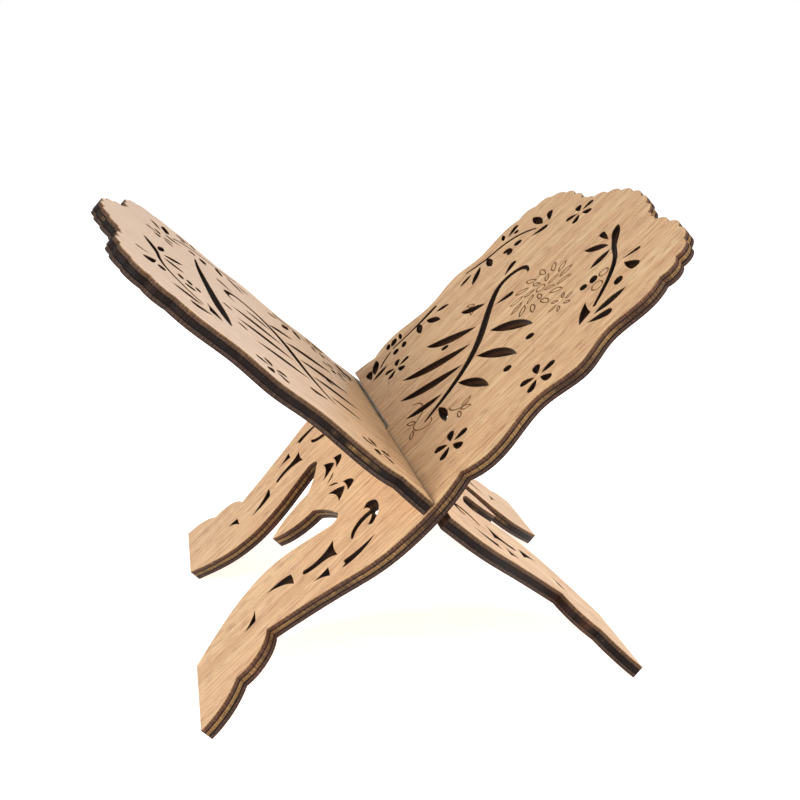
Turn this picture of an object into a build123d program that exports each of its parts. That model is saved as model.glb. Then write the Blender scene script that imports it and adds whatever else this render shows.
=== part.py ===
from build123d import *
import os
from math import atan2, cos, hypot, pi, radians, sin

os.makedirs("parts", exist_ok=True)

# ---------------------------------------------------------------- driving dimensions (mm, degrees)
slope = 42.5  # each board's angle above the floor
face_ply = 2.0  # outer veneers of the plywood
core_ply = 2.5  # middle layer
board_t = core_ply + 2 * face_ply

foot_v = -130.5  # end of the legs, measured down the board from the crossing line
foot_w = 97.5  # half width over the feet
foot_in_w = 47.5  # inner corner of each foot
crown_v = 171.3  # dip in the middle of the top edge
notch_w = 43.6  # notch between the middle crown and the side lobe
notch_v = 159.8
kink_w = 91.3  # nick in the side edge above the slot
kink_v = 19.5
hip_w = 71.3  # narrowest place of the leg, above the foot
hip_v = -89.3
toe_w = 84.7  # nick between the two swells of the foot
toe_v = -109.0

slot_w = 9.6  # the slot is wider than the board, so the boards can rock a little
slot_past = 0.2  # each slot runs this far past the middle
slot_drop = 0.85  # the second board sits this much lower in its slot, resting on the first

engrave_w = 0.55  # engraved line width
engrave_t = 0.35  # engraved depth

axis_z = -foot_v * sin(radians(slope)) + board_t / 2 * cos(radians(slope))

# Each board's own plane: x runs across the board, y up the board, z out of its book face.
# Board A leans to +X and its x runs to -Y. Board B leans to -X and its x runs to +Y.
plane_a = Plane(
    origin=(0, 0, axis_z),
    x_dir=(0, -1, 0),
    z_dir=(-sin(radians(slope)), 0, cos(radians(slope))),
)
plane_b = Plane(
    origin=(0, 0, axis_z),
    x_dir=(0, 1, 0),
    z_dir=(sin(radians(slope)), 0, cos(radians(slope))),
)


# ---------------------------------------------------------------- small shapes for the fretwork
def between(p, q, along, aside):
    """A point part of the way from p to q, moved aside to the left of that direction."""
    length = hypot(q[0] - p[0], q[1] - p[1])
    ux = (q[0] - p[0]) / length
    uy = (q[1] - p[1]) / length
    return (p[0] + ux * along * length - uy * aside, p[1] + uy * along * length + ux * aside)


def scallops(points, rise):
    """A chain of shallow arcs through the points, each swelling to the left of its run."""
    for p, q in zip(points, points[1:]):
        ThreePointArc(p, between(p, q, 0.5, rise), q)


def leaf(p, q, width, bend=0.0):
    """A leaf with a point at each end."""
    with BuildLine() as rim:
        ThreePointArc(p, between(p, q, 0.5, bend + width / 2), q)
        ThreePointArc(q, between(p, q, 0.5, bend - width / 2), p)
    make_face(rim.edges())


def drop(p, q, width):
    """A drop with its point at p and its round end at q."""
    r = width / 2
    length = hypot(q[0] - p[0], q[1] - p[1])
    shoulder = (length - r) / length
    left = between(p, q, shoulder, r)
    right = between(p, q, shoulder, -r)
    with BuildLine() as rim:
        ThreePointArc(p, between(p, q, 0.5 * shoulder, 0.36 * width), left)
        ThreePointArc(left, q, right)
        ThreePointArc(right, between(p, q, 0.5 * shoulder, -0.36 * width), p)
    make_face(rim.edges())


def stroke(points, widths):
    """A curved band through the points, with its own width at each point."""
    left = []
    right = []
    last = len(points) - 1
    for i, width in enumerate(widths):
        a = points[max(i - 1, 0)]
        b = points[min(i + 1, last)]
        heading = atan2(b[1] - a[1], b[0] - a[0])
        dx = -sin(heading) * width / 2
        dy = cos(heading) * width / 2
        left.append((points[i][0] + dx, points[i][1] + dy))
        right.append((points[i][0] - dx, points[i][1] - dy))
    right.reverse()
    with BuildLine() as rim:
        Spline(*left)
        Line(left[-1], right[0])
        Spline(*right)
        Line(right[-1], left[0])
    make_face(rim.edges())


def patch(points, bulges):
    """A small closed cut-out whose sides swell or hollow by the given amounts."""
    corners = points + [points[0]]
    with BuildLine() as rim:
        for p, q, bulge in zip(corners, corners[1:], bulges):
            if bulge == 0:
                Line(p, q)
            else:
                ThreePointArc(p, between(p, q, 0.5, bulge), q)
    make_face(rim.edges())


def bead(centre, long_r, short_r, turn):
    """A slanted oval hole."""
    with Locations(Location((centre[0], centre[1], 0), (0, 0, turn))):
        Ellipse(long_r, short_r)


def flower(centre, radius):
    """Five drop-shaped petals, one of them straight up."""
    for i in range(5):
        a = radians(90 + 72 * i)
        p = (centre[0] + 0.20 * radius * cos(a), centre[1] + 0.20 * radius * sin(a))
        q = (centre[0] + radius * cos(a), centre[1] + radius * sin(a))
        drop(p, q, 0.42 * radius)


def flip(side, points):
    """The same points on the other side of the board when side is -1."""
    return [(side * x, v) for x, v in points]


def leaf_line(p, q, width, bend=0.0):
    """The engraved outline of a leaf."""
    with BuildSketch() as one:
        leaf(p, q, width, bend)
        with BuildLine() as inside:
            start = between(p, q, 0.11, 0.11 * bend)
            end = between(p, q, 0.89, 0.11 * bend)
            ThreePointArc(start, between(p, q, 0.5, bend + width / 2 - engrave_w), end)
            ThreePointArc(end, between(p, q, 0.5, bend - width / 2 + engrave_w), start)
        make_face(inside.edges(), mode=Mode.SUBTRACT)
    add(one.sketch)


def wreath_line(centre, inner_r, outer_r, count, swirl):
    """Engraved leaves in a ring, each one turned by the swirl angle off the ray that it starts on."""
    for i in range(count):
        a = 2 * pi * i / count
        b = a + radians(swirl)
        p = (centre[0] + inner_r * cos(a), centre[1] + inner_r * sin(a))
        q = (centre[0] + outer_r * cos(b), centre[1] + outer_r * sin(b))
        leaf_line(p, q, 0.42 * (outer_r - inner_r), 0.06 * (outer_r - inner_r))


def ring_line(centre, radius):
    """One engraved circle."""
    with Locations(centre):
        Circle(radius + engrave_w / 2)
        Circle(radius - engrave_w / 2, mode=Mode.SUBTRACT)


# ---------------------------------------------------------------- the board's outline and legs
crown = [(0, crown_v), (11.7, 170.3), (22.6, 167.0), (32.4, 162.4)]
brow = [(32.4, 162.4), (38.4, 160.8), (notch_w, notch_v)]
lobe = [(notch_w, notch_v), (55.6, 160.8), (67.2, 160.0), (78.8, 155.0)]
shoulder = [(78.8, 155.0), (85.8, 145.9), (89.4, 134.6)]
waist = [(89.4, 134.6), (92.8, 121.5), (90.2, 102), (95.8, 86), (90.0, 64), (96.4, 38), (kink_w, kink_v)]
hip = [
    (kink_w, kink_v),
    (96.9, 6),
    (98.6, -9),
    (95.6, -31.5),
    (86.8, -51.5),
    (78.1, -71.5),
    (hip_w, hip_v),
]
leg_in = [
    (foot_in_w, foot_v),
    (35.5, -115),
    (27.2, -100),
    (24.2, -86),
    (27.0, -69),
    (32.2, -57),
    (37.6, -45.5),
]
arch_corner = (10.5, -49.7)
tongue_tip = (0, -75.8)

with BuildSketch() as blank:
    with BuildLine() as half:
        scallops(crown, 2.1)
        scallops(brow, 0.9)
        scallops(lobe, 2.2)
        scallops(shoulder, 2.9)
        Spline(*waist)
        Spline(*hip)
        ThreePointArc((hip_w, hip_v), (81.2, -95.2), (toe_w, toe_v))
        ThreePointArc((toe_w, toe_v), (93.6, -117.6), (foot_w, foot_v))
        Line((foot_w, foot_v), (foot_in_w, foot_v))
        Spline(*leg_in)
        ThreePointArc((37.6, -45.5), (37.2, -39.6), (31.4, -39.2))
        ThreePointArc((31.4, -39.2), (20.6, -43.4), arch_corner)
        ThreePointArc(arch_corner, (7.4, -65), tongue_tip)
        Line(tongue_tip, (0, crown_v))
    make_face(half.edges())
    mirror(about=Plane.YZ)


# ---------------------------------------------------------------- cut-outs of the legs, on both boards
def leg_fretwork(side):
    """Lotus, crescent, trumpet and thorn cut-outs of one leg."""
    stroke(
        flip(side, [(49.4, -24.6), (52.4, -21.4), (57.8, -20.8), (63.4, -22.4), (66.8, -26.2)]),
        [3.4, 4.6, 4.4, 3.6, 3.2],
    )
    stroke(flip(side, [(58.8, -22.4), (57.8, -28), (59.8, -33), (65.2, -36.4)]), [3.4, 4.2, 3.6, 0.9])
    patch(
        flip(side, [(77.4, -26.2), (79.2, -45.8), (78.0, -43.8), (75.0, -43.8)]),
        [2.6 * side, 0, 0, -0.9 * side],
    )
    patch(
        flip(side, [(51.9, -45.4), (66.0, -45.8), (60.6, -56), (57.4, -63.8), (53.8, -63.9), (56, -56)]),
        [-0.8 * side, -1.1 * side, 0.5 * side, 0.9 * side, -0.5 * side, -1.1 * side],
    )
    patch(
        flip(side, [(69.0, -52.0), (76.2, -52.3), (69.4, -60.6)]),
        [0, -0.6 * side, -0.4 * side],
    )
    patch(
        flip(side, [(46.6, -71.0), (56.2, -70.6), (43.9, -85.2)]),
        [0.4 * side, -1.6 * side, 1.2 * side],
    )
    patch(
        flip(side, [(48.6, -93.8), (57.0, -94.4), (57.4, -100.8)]),
        [0, 0.3 * side, -0.8 * side],
    )
    patch(
        flip(side, [(10.0, -29.4), (18.6, -24.2), (21.8, -28.8)]),
        [1.5 * side, 0.5 * side, -0.7 * side],
    )
    patch(
        flip(side, [(8.8, -39.0), (15.6, -29.6), (24.2, -35.4)]),
        [1.0 * side, 0.8 * side, -1.8 * side],
    )
    leaf((side * 1.6, -37.4), (side * 7.4, -32.2), 1.3, 0.5 * side)


# ---------------------------------------------------------------- sprays of leaves on the upper panels
def corner_spray_a(side):
    """The spray in board A's near top corner."""
    stroke(
        flip(side, [(17.8, 151.4), (23, 147.2), (28.5, 143.6), (34, 139.8), (41.5, 136.2), (49, 130.6),
                    (56.4, 122.6), (65.6, 109.6)]),
        [0.7, 4.7, 3.8, 2.8, 2.5, 2.7, 2.6, 1.5],
    )
    drop((side * 22.6, 142.3), (side * 11, 144.1), 3.2)
    leaf((side * 12.6, 132.1), (side * 28.1, 139.5), 4.6)
    leaf((side * 32.9, 137.9), (side * 33.2, 124.9), 4.6)
    drop((side * 50.4, 135.7), (side * 54.2, 144.5), 2.5)
    drop((side * 54.2, 134.5), (side * 66.2, 135.7), 5.2)
    bead((side * 63.6, 125.5), 2.9, 2.3, -35 * side)
    bead((side * 44.4, 120.9), 3.0, 2.1, -25 * side)
    bead((side * 43, 115.3), 2.4, 1.9, 0)
    leaf((side * 73.8, 124.1), (side * 71.2, 106.7), 5.0)
    drop((side * 73, 101.9), (side * 80.6, 112.1), 5.0)
    patch(
        flip(side, [(56.6, 109.3), (67.4, 106.7), (69.2, 99.1)]),
        [-0.5 * side, 0, 1.4 * side],
    )


def corner_spray_b(side):
    """The spray in board B's near top corner."""
    stroke(
        flip(side, [(3.8, 150), (13.3, 145.8), (24.3, 142.8), (34.3, 141.2), (44.3, 136.8), (51.8, 129.8),
                    (58.7, 120.2)]),
        [0.7, 4.2, 2.4, 2.2, 2.4, 2.4, 1.5],
    )
    drop((side * 43.5, 143.6), (side * 56.7, 148.2), 4.8)
    drop((side * 40.3, 146.4), (side * 44.1, 153.6), 2.5)
    bead((side * 50.3, 140.6), 3.4, 1.9, 10 * side)
    leaf((side * 12.8, 142.2), (side * -2.9, 139.8), 3.2)
    leaf((side * 16.3, 139.6), (side * 1.5, 129.2), 3.8)
    leaf((side * 23.1, 139.6), (side * 19.3, 128.6), 5.0)
    bead((side * 35.3, 130.8), 3.2, 1.6, 0)
    bead((side * 33.5, 126.2), 3.2, 1.6, 0)
    bead((side * 34.3, 121.6), 2.8, 1.5, 0)
    bead((side * 42.7, 126), 3.2, 2.2, 50 * side)
    leaf((side * 64.7, 136), (side * 62.5, 120.4), 5.0)
    drop((side * 67.1, 116), (side * 73.7, 126.6), 5.0)
    patch(
        flip(side, [(49.1, 117.8), (61.5, 117), (63.1, 110.4)]),
        [-0.5 * side, 0, 1.2 * side],
    )


def side_sprays(side):
    """The two sprays along the far edge, the same on both boards."""
    stroke(
        flip(side, [(58.4, 133.4), (66.4, 129.0), (74.0, 121.2), (77.8, 112.0), (79.4, 104.0), (82.4, 97.4),
                    (86.4, 90.6)]),
        [0.9, 1.7, 2.3, 2.3, 2.3, 2.1, 1.2],
    )
    drop((side * 53.6, 141.2), (side * 63.8, 146.2), 4.0)
    leaf((side * 57.4, 137.6), (side * 75.2, 138.6), 4.8)
    drop((side * 55.2, 127.8), (side * 49.6, 137.8), 4.4)
    drop((side * 80.4, 121.8), (side * 85.0, 130.8), 4.4)
    leaf((side * 81.4, 118.8), (side * 89.6, 121.2), 2.6)
    bead((side * 77.6, 126.8), 2.0, 1.5, 0)
    bead((side * 62.6, 121.2), 2.9, 2.3, -20 * side)
    bead((side * 61.0, 114.4), 3.2, 2.0, 20 * side)
    bead((side * 65.2, 114.2), 3.0, 2.2, -30 * side)
    leaf((side * 79.0, 104.6), (side * 65.0, 102.2), 4.2)
    leaf((side * 77.4, 98.4), (side * 64.2, 87.2), 4.2)
    leaf((side * 78.6, 92.0), (side * 76.6, 82.4), 3.6)
    stroke(
        flip(side, [(81.8, 65.6), (80.8, 56.4), (80.0, 48.0), (80.2, 38.0), (80.6, 31.0)]),
        [2.6, 3.4, 2.2, 2.0, 1.6],
    )
    leaf((side * 68.8, 71.0), (side * 74.8, 63.4), 3.6)
    leaf((side * 75.6, 56.0), (side * 60.4, 61.2), 4.6)
    leaf((side * 80.6, 50.8), (side * 66.4, 48.4), 4.2)
    leaf((side * 92.2, 39.4), (side * 82.6, 38.2), 2.2)
    bead((side * 87.6, 33.8), 4.0, 2.2, 20 * side)
    bead((side * 88.4, 29.6), 3.6, 1.5, 10 * side)
    bead((side * 73.0, 37.4), 3.4, 1.7, 10 * side)
    bead((side * 73.4, 31.2), 3.0, 2.0, 10 * side)
    stroke(flip(side, [(79.0, 28.6), (76.2, 23.6), (71.6, 18.8)]), [1.3, 1.7, 1.1])
    leaf((side * 86.0, 19.0), (side * 69.6, 14.2), 5.0)
    drop((side * 67.4, 10.8), (side * 79.6, 11.4), 4.4)
    leaf((side * 67.4, 22.6), (side * 64.2, 11.2), 4.0)


# ---------------------------------------------------------------- middle foliage, board A
def branch_a():
    """A leafy branch rising across the panel to a curled tip, with big leaves on both sides."""
    stroke(
        [(27.5, 20.0), (22.6, 34.0), (14.0, 51.0), (1.0, 66.0), (-13.0, 76.6), (-26.6, 87.0), (-34.6, 98.6),
         (-31.4, 108.4), (-20.4, 109.8)],
        [1.2, 3.4, 4.2, 5.0, 4.8, 4.4, 4.2, 3.6, 1.4],
    )
    leaf((1.6, 73.4), (32.4, 88.4), 7.0, 1.2)
    leaf((13.4, 59.6), (44.6, 72.6), 6.4, 1.4)
    leaf((21.2, 44.2), (48.6, 53.2), 5.6, 1.2)
    leaf((26.6, 29.4), (44.0, 28.0), 4.4, 0.8)
    leaf((-15.0, 70.6), (-44.2, 45.4), 7.0, 2.0)
    leaf((-3.4, 62.0), (-32.6, 24.0), 7.4, 2.2)
    leaf((8.6, 51.6), (-13.6, 16.4), 7.0, 2.0)
    leaf((17.4, 35.0), (8.6, 13.6), 5.0, 1.2)
    leaf((-29.6, 83.0), (-45.6, 71.6), 5.0, 1.2)
    drop((-39.8, 101.4), (-45.4, 111.2), 4.4)
    drop((-18.4, 86.0), (-13.6, 96.2), 4.2)
    bead((49.2, 64.6), 2.6, 2.0, 20)
    bead((-24.4, 51.8), 2.6, 1.8, 40)
    bead((40.6, 82.6), 2.6, 2.0, 30)


def engraving_a():
    """A wreath of leaves, a small one beside it, loose leaves and scrolls, all shallow lines."""
    wreath_line((8.0, 105.0), 11.6, 19.6, 13, 16)
    wreath_line((8.0, 105.0), 4.6, 11.0, 7, 26)
    ring_line((8.0, 105.0), 2.6)
    wreath_line((37.0, 104.0), 2.6, 7.6, 6, 20)
    ring_line((46.4, 126.2), 2.5)
    ring_line((52.2, 119.0), 3.0)
    leaf_line((45.0, 36.6), (50.6, 41.6), 3.0)
    leaf_line((44.4, 37.6), (42.6, 44.6), 2.8)
    leaf_line((45.6, 35.4), (52.0, 34.0), 2.6)
    stroke([(36.0, 33.0), (40.0, 33.4), (44.0, 36.4), (46.0, 41.6)], [engrave_w] * 4)
    stroke(
        [(2.0, 20.4), (10.0, 24.2), (18.0, 21.0), (23.0, 14.2), (30.0, 15.8), (33.0, 21.4), (29.4, 23.8)],
        [engrave_w] * 7,
    )
    leaf_line((11.0, 22.6), (17.6, 27.6), 3.0)
    leaf_line((21.0, 16.4), (14.4, 12.4), 3.0)
    leaf_line((25.0, 13.0), (31.6, 9.6), 2.8)
    leaf_line((-46.0, 76.0), (-39.0, 79.0), 2.8)
    leaf_line((-38.0, 77.0), (-31.6, 73.6), 2.8)


# ---------------------------------------------------------------- middle foliage, board B
def branch_b():
    """A long sweeping leaf, and under it a leafy branch with a curled tip."""
    stroke(
        [(-58.0, 106.0), (-40.0, 109.4), (-20.0, 112.6), (0.0, 115.4), (22.0, 118.0), (50.0, 119.8)],
        [0.9, 6.4, 6.0, 5.0, 3.4, 0.9],
    )
    stroke(
        [(-47.6, 47.0), (-33.0, 55.0), (-16.0, 61.0), (2.0, 65.6), (19.0, 72.6), (31.0, 83.4), (32.6, 95.8),
         (24.0, 102.0), (14.6, 97.6)],
        [1.2, 3.4, 4.2, 4.8, 4.8, 4.6, 4.2, 3.4, 1.4],
    )
    leaf((-35.4, 58.6), (-45.0, 91.0), 5.6, -1.4)
    leaf((-18.8, 65.4), (-25.6, 99.8), 6.8, -1.6)
    leaf((-1.6, 69.8), (-5.4, 101.6), 6.8, -1.6)
    leaf((14.8, 75.6), (15.6, 91.4), 5.0, -1.0)
    leaf((-21.0, 55.2), (-12.4, 24.4), 6.0, 1.6)
    leaf((-2.6, 60.2), (11.4, 24.6), 7.0, 1.8)
    leaf((15.4, 66.4), (35.2, 31.6), 7.0, 1.8)
    leaf((28.4, 74.6), (43.8, 56.8), 5.2, 1.2)
    leaf((-37.0, 48.4), (-36.0, 27.6), 4.4, 1.0)
    drop((-50.2, 51.6), (-56.0, 62.6), 4.8)
    drop((37.6, 97.0), (43.6, 106.6), 4.6)
    bead((-35.6, 97.6), 2.8, 1.8, 60)
    bead((-15.2, 104.4), 2.8, 1.8, 60)
    bead((1.6, 40.4), 2.6, 1.8, 60)


# ---------------------------------------------------------------- board faces
with BuildSketch() as fretwork_a:
    leg_fretwork(1)
    leg_fretwork(-1)
    corner_spray_a(1)
    side_sprays(-1)
    branch_a()
    flower((77.0, 70.5), 9.7)
    flower((65.0, 23.5), 9.7)
    flower((-29.5, 151.4), 9.2)
    flower((-53.5, 26.0), 8.8)

with BuildSketch() as fretwork_b:
    leg_fretwork(1)
    leg_fretwork(-1)
    corner_spray_b(-1)
    side_sprays(1)
    branch_b()
    flower((-78.0, 86.2), 9.0)
    flower((-74.0, 28.4), 9.2)
    flower((35.5, 141.0), 8.6)
    flower((54.0, 26.0), 8.8)

with BuildSketch() as slot_a:
    with Locations((slot_past, 0)):
        Rectangle(140, slot_w, align=(Align.MAX, Align.CENTER))

with BuildSketch() as slot_b:
    with Locations((slot_past, -slot_drop)):
        Rectangle(140, slot_w, align=(Align.MAX, Align.CENTER))

with BuildSketch() as profile_a:
    add(blank.sketch)
    add(fretwork_a.sketch, mode=Mode.SUBTRACT)
    add(slot_a.sketch, mode=Mode.SUBTRACT)

with BuildSketch() as profile_b:
    add(blank.sketch)
    add(fretwork_b.sketch, mode=Mode.SUBTRACT)
    add(slot_b.sketch, mode=Mode.SUBTRACT)

with BuildSketch() as lines_a:
    engraving_a()

# ---------------------------------------------------------------- board A, three layers
with BuildPart() as board_a_front_veneer:
    with BuildSketch(plane_a.offset(core_ply / 2)):
        add(profile_a.sketch)
    extrude(amount=face_ply)
    with BuildSketch(plane_a.offset(board_t / 2)):
        add(lines_a.sketch)
    extrude(amount=-engrave_t, mode=Mode.SUBTRACT)

with BuildPart() as board_a_core:
    with BuildSketch(plane_a.offset(-core_ply / 2)):
        add(profile_a.sketch)
    extrude(amount=core_ply)

with BuildPart() as board_a_back_veneer:
    with BuildSketch(plane_a.offset(-board_t / 2)):
        add(profile_a.sketch)
    extrude(amount=face_ply)

# ---------------------------------------------------------------- board B, three layers
with BuildPart() as board_b_front_veneer:
    with BuildSketch(plane_b.offset(core_ply / 2)):
        add(profile_b.sketch)
    extrude(amount=face_ply)

with BuildPart() as board_b_core:
    with BuildSketch(plane_b.offset(-core_ply / 2)):
        add(profile_b.sketch)
    extrude(amount=core_ply)

with BuildPart() as board_b_back_veneer:
    with BuildSketch(plane_b.offset(-board_t / 2)):
        add(profile_b.sketch)
    extrude(amount=face_ply)

# ---------------------------------------------------------------- write every layer
board_a_front_veneer.part.label = "board_a_front_veneer"
board_a_core.part.label = "board_a_core"
board_a_back_veneer.part.label = "board_a_back_veneer"
board_b_front_veneer.part.label = "board_b_front_veneer"
board_b_core.part.label = "board_b_core"
board_b_back_veneer.part.label = "board_b_back_veneer"

export_step(board_a_front_veneer.part, "parts/board_a_front_veneer.step")
export_step(board_a_core.part, "parts/board_a_core.step")
export_step(board_a_back_veneer.part, "parts/board_a_back_veneer.step")
export_step(board_b_front_veneer.part, "parts/board_b_front_veneer.step")
export_step(board_b_core.part, "parts/board_b_core.step")
export_step(board_b_back_veneer.part, "parts/board_b_back_veneer.step")
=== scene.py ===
from math import cos, radians, sin

import bpy
from mathutils import Euler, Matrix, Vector


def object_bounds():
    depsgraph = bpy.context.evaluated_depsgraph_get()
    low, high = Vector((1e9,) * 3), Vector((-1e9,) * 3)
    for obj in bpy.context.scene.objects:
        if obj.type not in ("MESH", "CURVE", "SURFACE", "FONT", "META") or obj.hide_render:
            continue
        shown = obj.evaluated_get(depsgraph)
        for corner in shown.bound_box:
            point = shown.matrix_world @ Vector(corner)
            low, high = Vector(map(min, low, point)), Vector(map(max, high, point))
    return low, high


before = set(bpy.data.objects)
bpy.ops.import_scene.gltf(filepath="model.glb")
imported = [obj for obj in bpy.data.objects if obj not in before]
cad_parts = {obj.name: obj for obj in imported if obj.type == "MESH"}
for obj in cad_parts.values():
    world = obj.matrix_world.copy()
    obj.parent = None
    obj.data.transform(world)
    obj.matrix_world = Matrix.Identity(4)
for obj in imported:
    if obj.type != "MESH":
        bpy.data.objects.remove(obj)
cad_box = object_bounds()

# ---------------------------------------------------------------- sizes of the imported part, in metres
MM = 0.001
SLOPE = radians(42.5)  # each board's angle above the floor
FACE_PLY = 0.0020
CORE_PLY = 0.0025
HALF_BOARD = CORE_PLY / 2 + FACE_PLY
LEG_LENGTH = 0.1305  # from the crossing line down the board to the end of the legs
AXIS_Z = LEG_LENGTH * sin(SLOPE) + HALF_BOARD * cos(SLOPE)  # height of the crossing line
LEAN = {"board_a": 1, "board_b": -1}  # board A leans to +X, board B to -X

RIM = 0.16 * MM  # the melted lip that the laser leaves on every cut
NEAR = 0.02 * MM  # two heights or corners this close are the same
SLOT_REACH = 8 * MM  # the walls of the slot are within this distance of the crossing line
SQUARE = 0.98  # cosine of how far a slot's long wall may turn from facing up or down the board

PLY_SEED = 11.3  # step between the noise of one ply's faces and the next one's
EDGE_SEED = 3.7  # the same for every ply, so that scorch runs on across the glue lines
# The veneer that gets a painted sheen, paler towards its top.
SHEEN_NODE = "board_b_front_veneer"
PAINTED_SHEEN = 0.6  # painted sheen: how much paler that veneer grows towards its top


def srgb(red, green, blue):
    """A colour given as 0 to 255 display values."""
    def linear(value):
        part = value / 255
        return part / 12.92 if part <= 0.04045 else ((part + 0.055) / 1.055) ** 2.4
    return (linear(red), linear(green), linear(blue), 1.0)


def upward(board):
    """The direction up the board, along its grain."""
    return (LEAN[board] * cos(SLOPE), 0, sin(SLOPE))


def outward(board):
    """The direction out of the face that holds the book."""
    return (-LEAN[board] * sin(SLOPE), 0, cos(SLOPE))


# ---------------------------------------------------------------- short ways to write shader nodes
class Shader:
    """A material's node tree, with one method for each kind of node that is used here."""

    def __init__(self, name):
        self.material = bpy.data.materials.new(name)
        self.material.use_nodes = True
        self.tree = self.material.node_tree
        self.surface = self.tree.nodes["Principled BSDF"]

    def set(self, owner, socket, value):
        if isinstance(value, bpy.types.NodeSocket):
            self.tree.links.new(value, owner.inputs[socket])
        else:
            owner.inputs[socket].default_value = value

    def math(self, operation, a, b):
        made = self.tree.nodes.new("ShaderNodeMath")
        made.operation = operation
        self.set(made, 0, a)
        self.set(made, 1, b)
        return made.outputs[0]

    def dot(self, vector, direction):
        made = self.tree.nodes.new("ShaderNodeVectorMath")
        made.operation = "DOT_PRODUCT"
        self.set(made, 0, vector)
        self.set(made, 1, direction)
        return made.outputs["Value"]

    def minus(self, vector, offset):
        made = self.tree.nodes.new("ShaderNodeVectorMath")
        made.operation = "SUBTRACT"
        self.set(made, 0, vector)
        self.set(made, 1, offset)
        return made.outputs["Vector"]

    def join(self, x, y, z):
        made = self.tree.nodes.new("ShaderNodeCombineXYZ")
        for socket, value in enumerate((x, y, z)):
            self.set(made, socket, value)
        return made.outputs[0]

    def noise(self, vector, scale, detail, roughness, distortion=0.0):
        made = self.tree.nodes.new("ShaderNodeTexNoise")
        self.set(made, "Vector", vector)
        self.set(made, "Scale", scale)
        self.set(made, "Detail", detail)
        self.set(made, "Roughness", roughness)
        self.set(made, "Distortion", distortion)
        return made.outputs["Fac"]

    def span(self, value, low, high, to_low=0.0, to_high=1.0):
        """value rescaled from low..high, smoothly and held at both ends."""
        made = self.tree.nodes.new("ShaderNodeMapRange")
        made.interpolation_type = "SMOOTHSTEP"
        self.set(made, "Value", value)
        self.set(made, "From Min", low)
        self.set(made, "From Max", high)
        self.set(made, "To Min", to_low)
        self.set(made, "To Max", to_high)
        return made.outputs["Result"]

    def ramp(self, value, stops):
        made = self.tree.nodes.new("ShaderNodeValToRGB")
        self.set(made, "Fac", value)
        elements = made.color_ramp.elements
        while len(elements) < len(stops):
            elements.new(0.5)
        for element, (position, colour) in zip(elements, stops):
            element.position = position
            element.color = colour
        return made.outputs["Color"]

    def mix(self, share, a, b, blend="MIX"):
        made = self.tree.nodes.new("ShaderNodeMix")
        made.data_type = "RGBA"
        made.blend_type = blend
        self.set(made, "Factor", share)
        self.set(made, "A", a)
        self.set(made, "B", b)
        return made.outputs["Result"]

    def bump(self, height, depth):
        """A normal for a height from 0 to 1 that stands depth above the mesh."""
        made = self.tree.nodes.new("ShaderNodeBump")
        made.inputs["Strength"].default_value = 1.0
        self.set(made, "Distance", depth)
        self.set(made, "Height", height)
        return made.outputs["Normal"]


# ---------------------------------------------------------------- laser-cut plywood
# On the cut edge of each board: front veneer, core and back veneer, and how much of the core is golden.
EDGE_TONES = {
    "board_a": (srgb(82, 55, 41), srgb(66, 45, 30), srgb(66, 46, 38), 1.0),
    "board_b": (srgb(80, 58, 43), srgb(25, 17, 14), srgb(64, 49, 41), 0.15),
}


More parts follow.
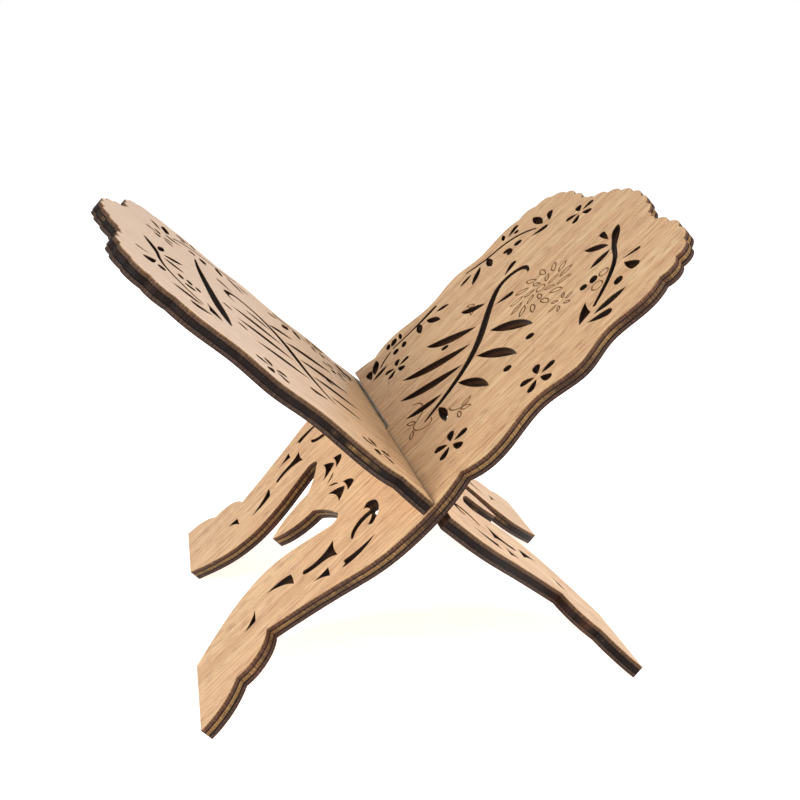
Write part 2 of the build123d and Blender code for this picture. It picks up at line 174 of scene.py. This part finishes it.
class Ply(Shader):
    """A shader with the coordinates of one board: across it, up it and out of its book face."""

    def __init__(self, name, board, seed):
        super().__init__(name)
        self.seed = seed
        coordinates = self.tree.nodes.new("ShaderNodeTexCoord")
        place = self.minus(coordinates.outputs["Object"], (0, 0, AXIS_Z))
        self.across = self.dot(place, (0, 1, 0))
        self.along = self.dot(place, upward(board))
        self.height = self.dot(place, outward(board))

    def grain(self, width, length, detail=2.0, roughness=0.5, distortion=0.0, shift=0.0):
        """Noise in streaks along the grain, each about width by length in millimetres."""
        vector = self.join(
            self.math("DIVIDE", self.across, width * MM),
            self.math("DIVIDE", self.along, length * MM),
            self.seed + shift,
        )
        return self.noise(vector, 1.0, detail, roughness, distortion)

    def through(self, size, detail=2.0, shift=0.0):
        """Noise that is the same all the way through the board, so it draws lines down a cut edge."""
        vector = self.join(self.across, self.along, self.seed + shift)
        return self.noise(vector, 1 / (size * MM), detail, 0.6)

    def speckle(self, size):
        """Noise in even specks of this size in millimetres."""
        place = self.join(self.across, self.along, self.math("ADD", self.height, self.seed))
        return self.noise(place, 1 / (size * MM), 2, 0.6)

    def veneer(self, painted_sheen):
        """(colour, relief, fibre) of the pale face: broad bands, growth lines, fibres and dark rays, and
        a painted sheen that grows paler towards the top.
        """
        wood = self.ramp(self.grain(15, 230, 2, distortion=0.5), [
            (0.28, srgb(206, 166, 121)),
            (0.40, srgb(227, 193, 147)),
            (0.50, srgb(218, 177, 133)),
            (0.60, srgb(229, 196, 150)),
            (0.74, srgb(213, 171, 126)),
        ])
        ring = self.grain(2.2, 150, 3, 0.62, 0.6, shift=7)
        wood = self.mix(self.span(ring, 0.48, 0.68, 0, 0.66), wood, srgb(190, 143, 100))
        wood = self.mix(self.span(ring, 0.46, 0.28, 0, 0.55), wood, srgb(239, 210, 165))
        cloud = self.grain(10, 60, 2, shift=17)
        wood = self.mix(self.span(cloud, 0.50, 0.72, 0, 0.26), wood, srgb(213, 160, 124))
        fibre = self.grain(0.30, 16, 3, 0.66, shift=13)
        wood = self.mix(self.span(fibre, 0.42, 0.66, 0, 0.62), wood, srgb(172, 124, 84))
        wood = self.mix(self.span(fibre, 0.48, 0.30, 0, 0.55), wood, srgb(248, 220, 178))
        ray = self.grain(0.30, 8, 1, 0.4, 0.1, shift=23)
        gate = self.grain(5, 34, 2, shift=31)
        dark = self.span(ray, 0.55, 0.64)
        dash = self.math("MULTIPLY", dark, self.span(gate, 0.36, 0.58, 0.12, 1.0))
        wood = self.mix(self.math("MULTIPLY", dash, 0.72), wood, srgb(144, 90, 60))
        # Painted sheen: paler and pinker towards the top, where the face catches the light at a grazing
        # angle.
        sheen_share = self.span(self.along, 10 * MM, 110 * MM, 0, painted_sheen)
        wood = self.mix(sheen_share, wood, srgb(233, 208, 189))
        relief = self.math("SUBTRACT", self.math("MULTIPLY", fibre, 0.4), dash)
        return wood, relief, fibre


def face_material(name, board, seed, painted_sheen):
    """The pale veneer of the two faces; painted_sheen is how much paler it grows towards the top, as
    painted sheen.
    """
    sh = Ply(name, board, seed)
    wood, relief, fibre = sh.veneer(painted_sheen)
    sh.set(sh.surface, "Base Color", wood)
    sh.set(sh.surface, "Roughness", sh.span(fibre, 0.3, 0.7, 0.42, 0.52))
    sh.surface.inputs["Specular IOR Level"].default_value = 0.5
    sh.set(sh.surface, "Normal", sh.bump(relief, 0.05 * MM))
    return sh.material


def edge_material(name, board, seed):
    """The outer cut edge: scorched veneers, black glue lines and a core that shows golden in patches."""
    sh = Ply(name, board, seed)
    front, core, back, gold = EDGE_TONES[board]
    wander = sh.math("MULTIPLY", sh.math("SUBTRACT", sh.through(11, shift=2), 0.5), 0.55 * MM)
    level = sh.math("ADD", sh.height, wander)
    layer = sh.math("DIVIDE", sh.math("ADD", level, HALF_BOARD), 2 * HALF_BOARD)
    charred = sh.ramp(layer, [
        (0.000, srgb(96, 68, 50)),
        (0.035, srgb(40, 27, 22)),
        (0.110, back),
        (0.250, back),
        (0.290, srgb(20, 12, 9)),
        (0.345, srgb(20, 12, 9)),
        (0.390, core),
        (0.620, core),
        (0.665, srgb(24, 15, 11)),
        (0.705, srgb(32, 20, 15)),
        (0.750, front),
        (0.910, front),
        (0.955, srgb(112, 84, 56)),
        (1.000, srgb(146, 108, 70)),
    ])
    golden = sh.ramp(layer, [
        (0.35, srgb(40, 26, 16)),
        (0.40, srgb(114, 86, 53)),
        (0.61, srgb(126, 95, 60)),
        (0.66, srgb(40, 26, 16)),
    ])
    in_core = sh.math("MULTIPLY", sh.span(layer, 0.34, 0.39), sh.span(layer, 0.67, 0.62))
    patches = sh.span(sh.through(26, 3, shift=3), 0.62 - 0.30 * gold, 0.80 - 0.26 * gold)
    edge = sh.mix(sh.math("MULTIPLY", in_core, patches), charred, golden)
    smoke = sh.through(28, 2, shift=9)
    edge = sh.mix(sh.span(smoke, 0.50, 0.68, 0, 0.40), edge, srgb(42, 27, 22))
    edge = sh.mix(sh.span(smoke, 0.44, 0.30, 0, 0.20), edge, srgb(112, 70, 52))
    comb = sh.through(0.5, 2, shift=5)
    lines = sh.span(comb, 0.28, 0.74, 0.55, 1.55)
    specks = sh.span(sh.speckle(0.5), 0.28, 0.72, 0.5, 1.6)
    tone = sh.math("MULTIPLY", lines, specks)
    sh.set(sh.surface, "Base Color", sh.mix(1.0, edge, tone, "MULTIPLY"))
    sh.set(sh.surface, "Roughness", sh.span(comb, 0.3, 0.7, 0.50, 0.66))
    sh.surface.inputs["Specular IOR Level"].default_value = 0.12
    sh.set(sh.surface, "Normal", sh.bump(comb, 0.10 * MM))
    return sh.material


def cut_out_material(name, board, seed):
    """The walls of the slot and of the fretwork: near-black, partly real soot and partly painted shade
    for the narrow cuts, a little redder where the core shows.
    """
    sh = Ply(name, board, seed)
    comb = sh.through(0.5, 2)
    # Near-black, darker than the outer edge's char: real soot plus painted shade inside the narrow cuts.
    soot_and_shade = sh.ramp(comb, [(0.3, srgb(20, 12, 9)), (0.7, srgb(48, 30, 22))])
    above_back = sh.span(sh.height, -1.3 * MM, -0.9 * MM)
    below_front = sh.span(sh.height, 1.3 * MM, 0.9 * MM)
    core = sh.math("MULTIPLY", above_back, below_front)
    soot_and_shade = sh.mix(sh.math("MULTIPLY", core, 0.5), soot_and_shade, srgb(84, 52, 30))
    sh.set(sh.surface, "Base Color", soot_and_shade)
    sh.set(sh.surface, "Roughness", sh.span(comb, 0.3, 0.7, 0.5, 0.7))
    sh.surface.inputs["Specular IOR Level"].default_value = 0.2
    sh.set(sh.surface, "Normal", sh.bump(comb, 0.1 * MM))
    return sh.material


def engraving_material(name, board, seed, painted_sheen):
    """Shallow engraved lines: the veneer toasted brown, unevenly."""
    sh = Ply(name, board, seed)
    # The veneer under the engraving keeps its painted sheen towards the top.
    wood, _, _ = sh.veneer(painted_sheen)
    burn = sh.grain(0.7, 1.6, 2, shift=41)
    toast = sh.ramp(burn, [(0.30, srgb(98, 64, 40)), (0.70, srgb(146, 104, 68))])
    sh.set(sh.surface, "Base Color", sh.mix(0.86, wood, toast))
    sh.surface.inputs["Roughness"].default_value = 0.75
    sh.surface.inputs["Specular IOR Level"].default_value = 0.15
    sh.set(sh.surface, "Normal", sh.bump(burn, 0.05 * MM))
    return sh.material


FACE, EDGE, CUT_OUT, ENGRAVED = range(4)  # material slots of every ply


def sort_faces(mesh, board):
    """Gives each polygon of a ply its slot: a face, the outer edge, a cut-out's wall or an engraved line.

    Walls that meet form one loop. The outline is the loop that reaches furthest across the board, and
    the part of it inside the slot counts as a cut-out. Of the other loops, one that goes right through
    the ply is a cut-out, and a shallower one is engraved.
    """
    out = Vector(outward(board))
    up = Vector(upward(board))
    axis = Vector((0, 0, AXIS_Z))
    heights = [out.dot(vertex.co) for vertex in mesh.vertices]
    top, bottom = max(heights), min(heights)

    # The mesh can hold several vertices in one place, and those count as one.
    places = [tuple(round(value / NEAR) for value in vertex.co) for vertex in mesh.vertices]
    corner = {}
    for index, place in enumerate(places):
        corner.setdefault(place, index)
    joined = [corner[place] for place in places]
    leader = list(range(len(mesh.vertices)))

    def lead(index):
        """The one vertex that stands for every vertex that walls have joined to this one."""
        while leader[index] != index:
            leader[index] = leader[leader[index]]
            index = leader[index]
        return index

    walls = []
    for polygon in mesh.polygons:
        low = min(heights[i] for i in polygon.vertices)
        high = max(heights[i] for i in polygon.vertices)
        if high - low > NEAR:
            walls.append(polygon)
            for i in polygon.vertices:
                leader[lead(joined[i])] = lead(joined[polygon.vertices[0]])
        elif low > bottom + NEAR and high < top - NEAR:
            polygon.material_index = ENGRAVED

    depth, reach = {}, {}
    for polygon in walls:
        loop = lead(joined[polygon.vertices[0]])
        for i in polygon.vertices:
            y = mesh.vertices[i].co.y
            low, high = reach.get(loop, (y, y))
            reach[loop] = (min(low, y), max(high, y))
            depth[loop] = min(depth.get(loop, top), heights[i])
    outline = max(reach, key=lambda loop: reach[loop][1] - reach[loop][0])
    for polygon in walls:
        loop = lead(joined[polygon.vertices[0]])
        if loop == outline:
            by_slot = abs(up.dot(polygon.center - axis)) < SLOT_REACH
            long_wall = abs(up.dot(polygon.normal)) > SQUARE
            end_wall = abs(polygon.center.y) < SLOT_REACH
            # The slot's walls take the near-black cut-out colour: painted shade that darkens the gap of
            # the slot.
            polygon.material_index = CUT_OUT if by_slot and (long_wall or end_wall) else EDGE
        else:
            polygon.material_index = CUT_OUT if depth[loop] < bottom + NEAR else ENGRAVED


def finish_edges(node):
    """Shades the walls smoothly, joins the split corners and gives every cut its narrow melted lip."""
    normals = node.data.attributes.get("custom_normal")
    if normals:
        node.data.attributes.remove(normals)
    for polygon in node.data.polygons:
        polygon.use_smooth = True
    weld = node.modifiers.new("weld", "WELD")
    weld.merge_threshold = 0.002 * MM
    lip = node.modifiers.new("lip", "BEVEL")
    lip.width = RIM
    lip.segments = 1
    lip.limit_method = "ANGLE"
    lip.angle_limit = radians(40)
    lip.use_clamp_overlap = False
    lip.material = EDGE
    crisp = node.modifiers.new("crisp", "EDGE_SPLIT")
    crisp.split_angle = radians(25)


def dress_boards():
    """Gives every ply its four materials, in the order of the slots, and its finished edges."""
    for place, (name, node) in enumerate(sorted(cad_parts.items())):
        board = next(board for board in LEAN if name.startswith(board))
        seed = PLY_SEED * (place + 1)
        # Only that veneer gets the painted sheen.
        painted_sheen = PAINTED_SHEEN if name == SHEEN_NODE else 0.0
        node.data.materials.clear()
        node.data.materials.append(face_material(name + "_face", board, seed, painted_sheen))
        node.data.materials.append(edge_material(name + "_edge", board, EDGE_SEED))
        node.data.materials.append(cut_out_material(name + "_soot", board, seed))
        node.data.materials.append(engraving_material(name + "_line", board, seed, painted_sheen))
        sort_faces(node.data, board)
        finish_edges(node)


# ---------------------------------------------------------------- studio
MIDDLE = Vector((0, 0, 0.09))  # the lamps point here, at about the middle of the stand


def add_floor():
    """White paper under the stand, which glows enough to show no horizon."""
    bpy.ops.mesh.primitive_plane_add(size=30, location=(0, 0, cad_box[0].z))
    floor = bpy.context.object
    floor.name = "floor"
    sh = Shader("floor_paper")
    sh.surface.inputs["Base Color"].default_value = (0.8, 0.8, 0.8, 1)
    sh.surface.inputs["Roughness"].default_value = 0.95
    sh.surface.inputs["Specular IOR Level"].default_value = 0.0
    sh.surface.inputs["Emission Color"].default_value = (1, 1, 1, 1)
    sh.surface.inputs["Emission Strength"].default_value = 0.68
    floor.data.materials.append(sh.material)


def add_light(name, location, size, power):
    """A round area lamp that points at the middle of the stand."""
    lamp = bpy.data.lights.new(name, "AREA")
    lamp.shape = "DISK"
    lamp.size = size
    lamp.energy = power
    light = bpy.data.objects.new(name, lamp)
    light.location = location
    light.rotation_euler = (MIDDLE - Vector(location)).to_track_quat("-Z", "Y").to_euler()
    bpy.context.scene.collection.objects.link(light)


def add_studio():
    """A white room that is seen as white but lights the object softly, and two large lamps."""
    world = bpy.data.worlds.new("studio")
    bpy.context.scene.world = world
    world.use_nodes = True
    tree = world.node_tree
    background = tree.nodes["Background"]
    background.inputs["Color"].default_value = (1, 1, 1, 1)
    seen = tree.nodes.new("ShaderNodeLightPath").outputs["Is Camera Ray"]
    strength = tree.nodes.new("ShaderNodeMapRange")
    tree.links.new(seen, strength.inputs["Value"])
    strength.inputs["To Min"].default_value = 0.42
    strength.inputs["To Max"].default_value = 1.0
    tree.links.new(strength.outputs["Result"], background.inputs["Strength"])
    add_light("left", (-1.2, -0.6, 0.95), 0.8, 17.5)
    add_light("right", (1.2, -0.7, 1.0), 0.8, 20)
    bpy.context.scene.view_settings.view_transform = "Standard"


def add_camera():
    """A camera close in front of the stand, a little to its left, looking down and rolled."""
    camera = bpy.data.objects.new("camera", bpy.data.cameras.new("camera"))
    camera.data.sensor_width = 36
    camera.data.lens = 46.44
    camera.data.shift_x = -0.0530
    camera.data.shift_y = -0.0184
    camera.location = (-0.09794, -0.47359, 0.26257)
    camera.rotation_euler = Euler((radians(73.28), radians(-0.546), radians(-14.774)))
    bpy.context.scene.collection.objects.link(camera)
    bpy.context.scene.camera = camera


dress_boards()
add_floor()
add_studio()
add_camera()
